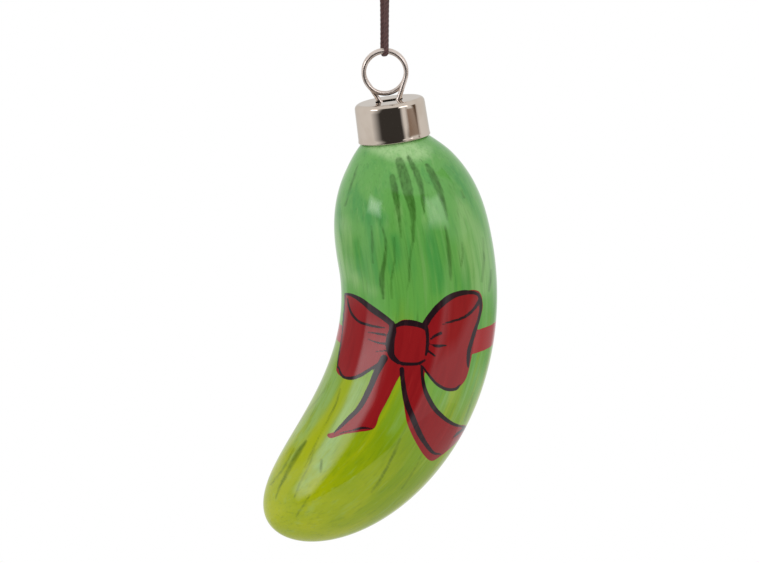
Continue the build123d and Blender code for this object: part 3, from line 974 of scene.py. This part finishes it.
def glassMaterial():
    material, tree, shader = newMaterial(
        "paintedGlass", Roughness=0.45, Specular_IOR_Level=0, Coat_Weight=0.74, Coat_Roughness=0.03, Coat_IOR=1.5)
    look = paintLook
    straight = attribute(tree, "straight", "Vector")

    def cover(name, low, high, shift=None):  # a painted area with an edge from low to high, in millimetres
        inside = attribute(tree, name)
        return (inside + shift if shift else inside).step(low, high)

    def marks(width, length, low, high, seed):
        return term(tree, "ShaderNodeGroup", "Mark", {
            "Straight": straight, "Width": width * mm, "Length": length * mm, "Low": low, "High": high, "Seed": seed,
        }, node_tree=brushMarks)

    station = term(tree, "ShaderNodeSeparateXYZ", "Z", {0: straight})
    wander = marks(7, 26, 0.3, 0.7, 3) * 0.016 - 0.008
    along = (station + wander).to("DIVIDE", glass["Length"], clamp=True)
    ramp = addNode(tree, "ShaderNodeValToRGB", {"Fac": along})
    stops = ramp.color_ramp.elements
    while len(stops) < len(look["ramp"]):
        stops.new(0.5)
    for stop, (name, place) in zip(stops, look["ramp"].items()):
        stop.position, stop.color = place, look[name]
    colour = ramp.outputs["Color"]
    upper = 1 - station.step(0.036, 0.06)
    lower = 1 - upper
    areas = {
        "upper": upper, "lower": lower, "teal": cover("tealCover", -1.6, 1.2),
        # pale: washes that are partly paint and partly painted reflection down the sides
        "pale": cover("paleCover", -1.8, 1.2), "cream": cover("creamCover", -1.8, 1.2),
    }
    for name, strength, area, brush in brushWork:
        mark = marks(*brush) * areas[area] if area else marks(*brush)
        colour = (mark * strength).mix(colour, look[name])
    colour = (cover("yellowCover", -0.5, 0.6) * 0.6).mix(colour, look["yellow"])
    rag = marks(0.6, 9, 0.2, 0.8, 41) * 0.24 - 0.12
    body = marks(0.8, 14, 0.3, 0.7, 73) * 0.36 + 0.5
    darkTone = lower.mix(look["dark"], look["darkLow"])
    colour = (cover("darkCover", -0.22, 0.32, rag) * body).mix(colour, darkTone)
    wobble = noise(tree, straight, 500, 2) * 0.16 - 0.08
    red = (marks(1.6, 12, 0.4, 0.7, 47) * 0.55).mix(look["ribbon"], look["ribbonDeep"])
    red = (marks(1.1, 14, 0.55, 0.75, 53) * 0.5).mix(red, look["ribbonLight"])
    red = (cover("bandCover", -0.1, 0.2) * 0.8).mix(red, look["band"])
    colour = cover("ribbonCover", -0.06, 0.1, wobble).mix(colour, red)
    inkTone = marks(0.9, 6, 0.45, 0.75, 59).mix(look["ink"], look["inkThin"])
    colour = cover("inkCover", -0.07, 0.09, wobble).mix(colour, inkTone)
    bare = attribute(tree, "inner").to("MAXIMUM", 1 - station.step(-0.0006, 0.0003))
    feed(tree, shader, {"Base Color": bare.mix(colour, look["bare"])})
    return material


glassSizes = dict(glass, Finish=glassMaterial())
glassStart = newObject("glassStart", bpy.data.meshes.new("glassStart"))
glassMesh = plainMesh(runTree(glassStart, glassTree(glassSizes), glassSizes), "pickleGlass")
paintGlass(outward(glassMesh))
pickle = newObject("pickleGlass", glassMesh)
print("glass blown and painted")


# Stage: white surroundings, a pale floor, soft boxes, and cards that the gloss shows

stage = {
    "ambient": 0.8,
    "floorDrop": 0.32,
    "floorRadius": 0.6,
    "floorSides": 96,
    "floorWhite": 0.85,  # the white that the camera sees in it
    "centre": (0.004, 0, -0.085),
    "softBoxes": {  # azimuth, elevation, distance, width, height, power in watts
        "leftBox": (-50, 25, 0.7, 0.4, 0.3, 0.7),
        "rightBox": (45, 30, 0.7, 0.4, 0.3, 0.7),
    },
    "cardRows": 31,
    "cardColumns": 37,
    "cards": {  # radius, soft left, right and upright edges, glow, and rows of height with the azimuths it spans
        "darkRoom": (1.1, 28, 7, 0.12, srgb(67, 65, 63), [
            (-0.98, -38, 4), (-0.83, -56, 13), (-0.62, -70, 25), (-0.36, -72, 34), (-0.16, -58, 44), (-0.03, -54, 58),
            (0.34, -54, 58), (0.8, -50, 50)]),
        "leftWindow": (1, 7, 7, 0.12, (6.2, 6.2, 6.3, 1), [(0.08, -71, -43), (0.4, -71, -43)]),
        "rightWindow": (1, 8, 8, 0.14, (3.6, 3.6, 3.7, 1), [(0.08, 25, 62), (0.66, 25, 62)]),
        "brownWall": (1, 12, 16, 0.08, srgb(160, 138, 122), [(-0.44, 30, 62), (-0.2, 41, 100), (0.05, 45, 100)]),
        "brownCorner": (0.031, 10, 4, 0.003, srgb(104, 84, 68), [
            (-0.0435, 76, 79), (-0.038, 70, 82), (-0.033, 60, 84), (-0.027, 56, 84)]),
        "leftPanel": (0.042, 5, 7, 0.004, (3.4, 3.4, 3.45, 1), [
            (-0.134, -64, -52), (-0.126, -70, -44), (-0.119, -69, -39), (-0.11, -66, -33), (-0.1035, -64, -28),
            (-0.098, -65, -29), (-0.0915, -68, -27), (-0.0872, -68, -23)]),
        "leftShade": (0.105, 10, 6, 0.012, (0.3, 0.3, 0.3, 1), [(-0.108, -130, -74), (-0.074, -130, -74)]),
        "rightShade": (0.1, 12, 12, 0.012, (0.52, 0.52, 0.52, 1), [(-0.135, 90, 150), (-0.09, 90, 150)]),
        "capGlint": (0.03, 9, 9, 0.003, (1, 1, 1, 1), [
            (-0.0525, 27, 31), (-0.049, 27, 32), (-0.0445, 24.5, 40), (-0.0405, 22, 47), (-0.028, 21.5, 48)]),
    },
}


def direction(azimuth, elevation):
    a, e = math.radians(azimuth), math.radians(elevation)
    return Vector((math.sin(a) * math.cos(e), -math.cos(a) * math.cos(e), math.sin(e)))


def makeWorld():
    world = bpy.data.worlds.new("studio")
    tree = clearTree(world)
    rays = addNode(tree, "ShaderNodeLightPath").outputs
    seen = maths(tree, "MAXIMUM", rays["Is Camera Ray"], rays["Is Glossy Ray"])
    strength = seen * (1 - stage["ambient"]) + stage["ambient"]
    light = addNode(tree, "ShaderNodeBackground", {"Color": (1, 1, 1, 1), "Strength": strength})
    addNode(tree, "ShaderNodeOutputWorld", {"Surface": light.outputs[0]})
    scene.world = world


def makeFloor():
    middle, sides = Vector((0, 0, cadBox[0].z - stage["floorDrop"])), stage["floorSides"]
    rim = [middle + direction(360 * k / sides, 0) * stage["floorRadius"] for k in range(sides)]
    mesh = newMesh("paleFloor", rim, [range(sides)])
    material, tree, shader = newMaterial("paleFloor", Base_Color=(0.86, 0.86, 0.85, 1), Roughness=0.9)
    white = addNode(tree, "ShaderNodeEmission")
    seen = term(tree, "ShaderNodeLightPath", "Is Camera Ray") * stage["floorWhite"]
    mixed = addNode(tree, "ShaderNodeMixShader", {0: seen, 1: shader.outputs[0], 2: white.outputs[0]})
    feed(tree, tree.get_output_node("ALL"), {"Surface": mixed.outputs[0]})
    floor = newObject("paleFloor", mesh, material)


def makeSoftBoxes():  # light on the paint; what the gloss shows are the cards
    centre = Vector(stage["centre"])
    for name, (azimuth, elevation, distance, width, height, power) in stage["softBoxes"].items():
        lamp = bpy.data.lights.new(name, "AREA")
        lamp.shape = "RECTANGLE"
        lamp.size, lamp.size_y, lamp.energy = width, height, power
        obj = newObject(name, lamp)
        away = direction(azimuth, elevation)
        obj.location = centre + away * distance
        obj.rotation_euler = (-away).to_track_quat("-Z", "Y").to_euler()
        obj.visible_glossy = False


def cardMaterial(name, glow):  # fades to clear at its edges
    material = bpy.data.materials.new(name)
    tree = clearTree(material)
    light = addNode(tree, "ShaderNodeEmission", {"Color": glow})
    clear = addNode(tree, "ShaderNodeBsdfTransparent")
    mixed = addNode(tree, "ShaderNodeMixShader", {
        0: attribute(tree, "cover"), 1: clear.outputs[0], 2: light.outputs[0]})
    addNode(tree, "ShaderNodeOutputMaterial", {"Surface": mixed.outputs[0]})
    return material


def makeCards():
    centre, rows, columns = Vector(stage["centre"]), stage["cardRows"], stage["cardColumns"]
    for name, (radius, softLeft, softRight, softRise, glow, spans) in stage["cards"].items():
        heights, starts, ends = zip(*spans)
        vertices, covers = [], []
        for level in np.linspace(heights[0], heights[-1], rows):
            left, right = np.interp(level, heights, starts), np.interp(level, heights, ends)
            upright = min(level - heights[0], heights[-1] - level) / softRise
            for turn in np.linspace(left, right, columns):
                away = direction(turn, 0) * radius
                vertices.append((centre.x + away.x, centre.y + away.y, level))
                covers.append(min(max(min((turn - left) / softLeft, (right - turn) / softRight, upright), 0), 1))
        mesh = newMesh(name, vertices, quadFaces(rows, columns, columnLoop=False))
        setValues(mesh, "cover", covers)
        card = newObject(name, mesh, cardMaterial(name, glow))
        card.visible_camera = card.visible_diffuse = card.visible_shadow = card.visible_transmission = False


makeWorld()
makeFloor()
makeSoftBoxes()
makeCards()
print("stage lit")


# What each piece rides on and stands for

for piece, body, node, finish in (
    (pickle, "pickle", "pickle_body", "painted_glass"),
    (capPiece, "cap", "cap", "cap_metal"),
    (hanger, "hanger", "hanger", "hanger_wire"),
    (knot, "knot", "cord_knot", "brown_cord"),
):
    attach(piece, body)
    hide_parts(node)
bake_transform(cord)
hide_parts("hanging_cord")

print("pieces fitted")
